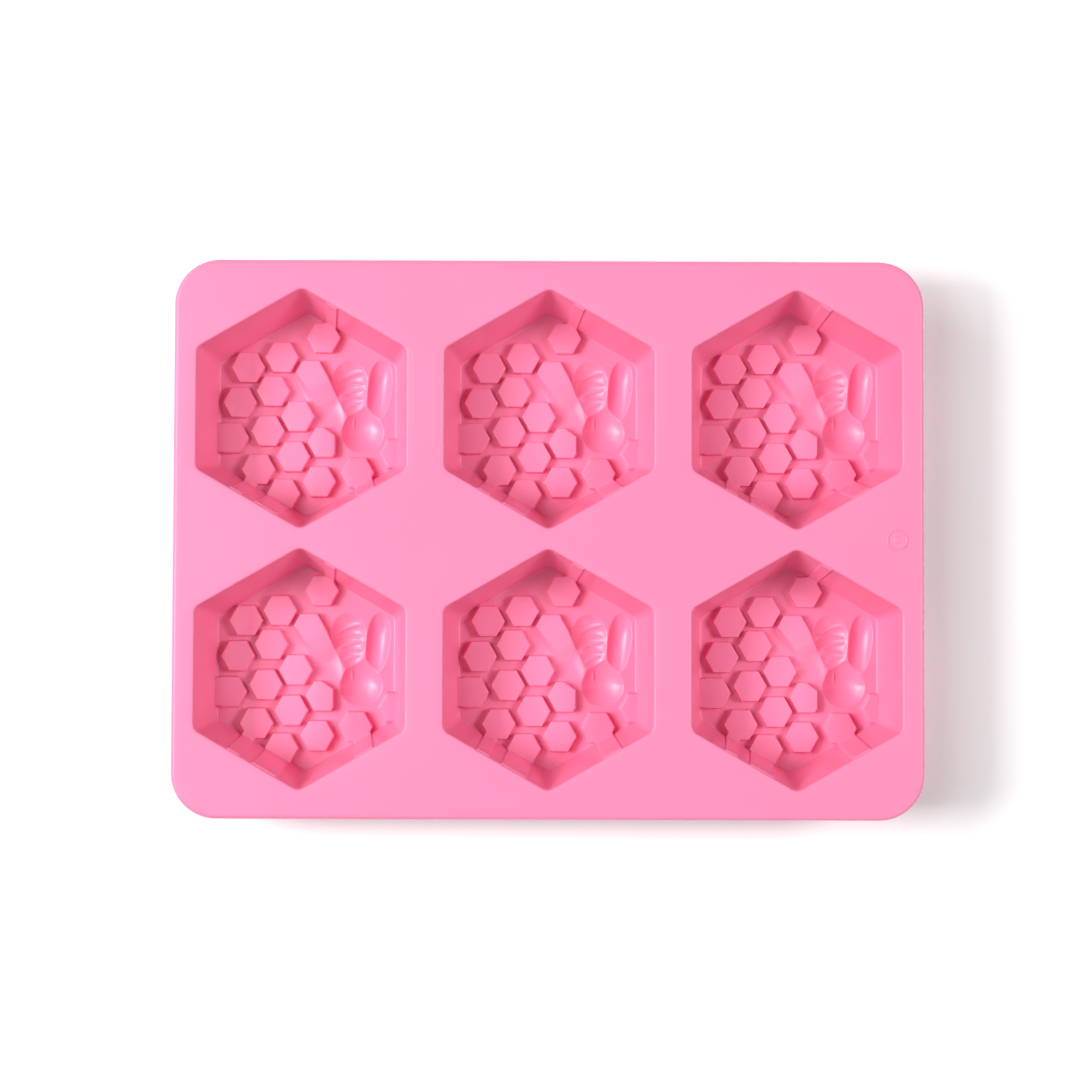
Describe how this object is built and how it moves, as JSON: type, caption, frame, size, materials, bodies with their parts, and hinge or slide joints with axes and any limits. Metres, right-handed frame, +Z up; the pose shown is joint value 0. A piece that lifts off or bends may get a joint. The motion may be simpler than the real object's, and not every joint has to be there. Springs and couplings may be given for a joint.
{
  "type": "silicone soap mould",
  "caption": "Flexible silicone soap mould: a flat rounded tray with hexagonal cavities, each with a raised honeycomb and a sunk bee on its floor.",
  "frame": {"origin": "centre of the footprint at the surface the cups stand on", "axes": "+X along the long side, +Y towards the back row, +Z up through the cavity mouths"},
  "size_m": [0.239, 0.178, 0.0298],
  "materials": {
    "silicone": "satin"
  },
  "bodies": {
    "root": {"top_sheet": "silicone", "edge_rim": "silicone", "moulding_mark": "silicone", "cup_wall_front_left": "silicone", "cup_wall_front_middle": "silicone", "cup_wall_front_right": "silicone", "cup_wall_back_left": "silicone", "cup_wall_back_middle": "silicone", "cup_wall_back_right": "silicone", "cup_floor_front_left": "silicone", "cup_floor_front_middle": "silicone", "cup_floor_front_right": "silicone", "cup_floor_back_left": "silicone", "cup_floor_back_middle": "silicone", "cup_floor_back_right": "silicone", "honeycomb_front_left": "silicone", "honeycomb_front_middle": "silicone", "honeycomb_front_right": "silicone", "honeycomb_back_left": "silicone", "honeycomb_back_middle": "silicone", "honeycomb_back_right": "silicone", "bee_relief_front_left": "silicone", "bee_relief_front_middle": "silicone", "bee_relief_front_right": "silicone", "bee_relief_back_left": "silicone", "bee_relief_back_middle": "silicone", "bee_relief_back_right": "silicone"}
  },
  "joints": []
}
